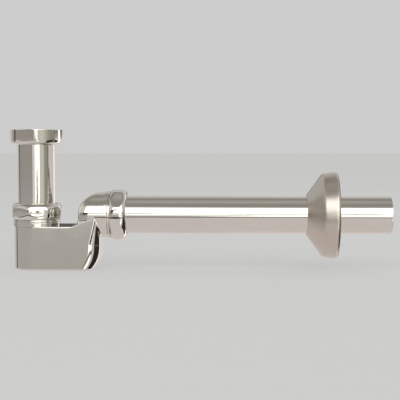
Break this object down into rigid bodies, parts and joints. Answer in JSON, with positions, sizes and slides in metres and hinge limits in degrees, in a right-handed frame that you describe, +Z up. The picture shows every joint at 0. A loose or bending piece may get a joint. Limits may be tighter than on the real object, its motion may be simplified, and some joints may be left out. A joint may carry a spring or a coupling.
{
  "type": "p trap",
  "caption": "Low-profile P trap: flat-bottomed body, short inlet tube with union nut, long wall tube and a sliding coned wall flange, in polished nickel.",
  "frame": {"origin": "centre of the union nut's open mouth, where the basin waste screws in", "axes": "+Z up along the inlet tube's axis, +X along the wall tube towards the wall"},
  "size_m": [0.3221, 0.0736, 0.118],
  "materials": {
    "polished_nickel": "polished nickel plate on brass",
    "satin_nickel": "satin nickel plate on brass",
    "black_rubber": "moulded rubber",
    "white_nylon": "turned nylon"
  },
  "bodies": {
    "trap": {"trap_body": "polished_nickel"},
    "inlet_seal": {"inlet_slip_washer": "black_rubber"},
    "inlet_pipe": {"inlet_tube": "polished_nickel", "inlet_tube_collar": "polished_nickel", "union_washer": "black_rubber"},
    "union_thrust": {"union_thrust_ring": "white_nylon"},
    "union": {"union_nut": "polished_nickel"},
    "inlet_ring": {"inlet_friction_ring": "white_nylon"},
    "inlet_nut": {"inlet_slip_nut": "polished_nickel"},
    "outlet_seal": {"outlet_slip_washer": "black_rubber"},
    "wall_pipe": {"wall_tube": "polished_nickel"},
    "outlet_ring": {"outlet_friction_ring": "white_nylon"},
    "outlet_nut": {"outlet_slip_nut": "polished_nickel"},
    "flange_grip": {"flange_grip_ring": "black_rubber"},
    "flange": {"wall_flange": "satin_nickel"}
  },
  "joints": [
    {"name": "inlet_swivel", "type": "hinge", "parent": "trap", "child": "inlet_seal", "pos_m": [0, 0, -0.07], "axis": [0, 0, 1], "continuous": true},
    {"name": "inlet_height", "type": "slide", "parent": "inlet_seal", "child": "inlet_pipe", "axis": [0, 0, 1], "range_m": [-0.012, 0.015]},
    {"name": "union_drop", "type": "slide", "parent": "inlet_pipe", "child": "union_thrust", "axis": [0, 0, -1], "range_m": [0, 0.018]},
    {"name": "union_spin", "type": "hinge", "parent": "union_thrust", "child": "union", "pos_m": [0, 0, -0.006], "axis": [0, 0, 1], "continuous": true},
    {"name": "inlet_nut_travel", "type": "slide", "parent": "trap", "child": "inlet_ring", "axis": [0, 0, 1], "range_m": [0, 0.011]},
    {"name": "inlet_nut_turn", "type": "hinge", "parent": "inlet_ring", "child": "inlet_nut", "pos_m": [0, 0, -0.07], "axis": [0, 0, 1], "range_deg": [0, 1800]},
    {"name": "outlet_swivel", "type": "hinge", "parent": "trap", "child": "outlet_seal", "pos_m": [0.07, 0, -0.072], "axis": [1, 0, 0], "continuous": true},
    {"name": "outlet_reach", "type": "slide", "parent": "outlet_seal", "child": "wall_pipe", "axis": [1, 0, 0], "range_m": [-0.005, 0.009]},
    {"name": "outlet_nut_travel", "type": "slide", "parent": "trap", "child": "outlet_ring", "axis": [1, 0, 0], "range_m": [0, 0.011]},
    {"name": "outlet_nut_turn", "type": "hinge", "parent": "outlet_ring", "child": "outlet_nut", "pos_m": [0.07, 0, -0.072], "axis": [1, 0, 0], "range_deg": [0, 1800]},
    {"name": "flange_slide", "type": "slide", "parent": "wall_pipe", "child": "flange_grip", "axis": [1, 0, 0], "range_m": [-0.06, 0.02]},
    {"name": "flange_spin", "type": "hinge", "parent": "flange_grip", "child": "flange", "pos_m": [0.24, 0, -0.072], "axis": [1, 0, 0], "continuous": true}
  ],
  "couplings": [
    {"joint": "inlet_nut_travel", "follows": "inlet_nut_turn", "m_per_rad": 0.00035014},
    {"joint": "outlet_nut_travel", "follows": "outlet_nut_turn", "m_per_rad": 0.00035014}
  ]
}
